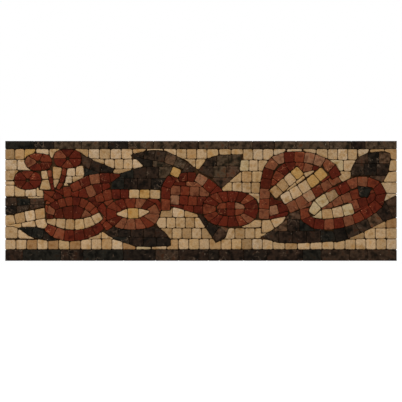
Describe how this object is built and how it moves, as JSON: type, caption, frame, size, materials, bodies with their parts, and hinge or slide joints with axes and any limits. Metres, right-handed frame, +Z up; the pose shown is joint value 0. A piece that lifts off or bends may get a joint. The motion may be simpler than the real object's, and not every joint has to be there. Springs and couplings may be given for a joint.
{
  "type": "mosaic border panel",
  "caption": "Flat rectangular border panel of tumbled marble tesserae, a garland of red flowers and dark leaves on cream ground between two dark strips, on a net backing.",
  "frame": {"origin": "middle of the back of the net, the face that is glued to the wall", "axes": "+X along the panel, +Z up it, +Y into the wall, so that the stones face -Y"},
  "size_m": [0.392, 0.0103, 0.12],
  "materials": {
    "cream_marble": "matt, tumbled",
    "red_marble": "satin, tumbled",
    "dark_marble": "satin, tumbled",
    "net": "matt woven glass fibre"
  },
  "bodies": {
    "root": {"bottom_strip": "dark_marble", "flower_1_arch": "red_marble", "flower_1_base": "red_marble", "flower_1_smile": "cream_marble", "flower_2": "red_marble", "flower_2_lens": "cream_marble", "flower_3": "red_marble", "flower_3_square": "cream_marble", "flower_4": "red_marble", "flower_5": "red_marble", "flower_5_heart": "cream_marble", "flower_6": "red_marble", "flower_6_dark": "dark_marble", "flower_6_light": "cream_marble", "ground_bottom": "cream_marble", "ground_left": "cream_marble", "ground_middle": "cream_marble", "ground_top": "cream_marble", "leaf_1": "dark_marble", "leaf_2": "dark_marble", "leaf_3": "dark_marble", "leaf_4": "dark_marble", "leaf_5": "dark_marble", "leaf_6": "dark_marble", "leaf_7": "dark_marble", "leaf_8": "dark_marble", "leaf_9": "dark_marble", "left_bud": "red_marble", "lower_bud": "red_marble", "net": "net", "petal_tip": "red_marble", "petals": "red_marble", "petals_light": "cream_marble", "stalk": "red_marble", "top_strip": "dark_marble", "upper_bud": "red_marble"}
  },
  "joints": []
}
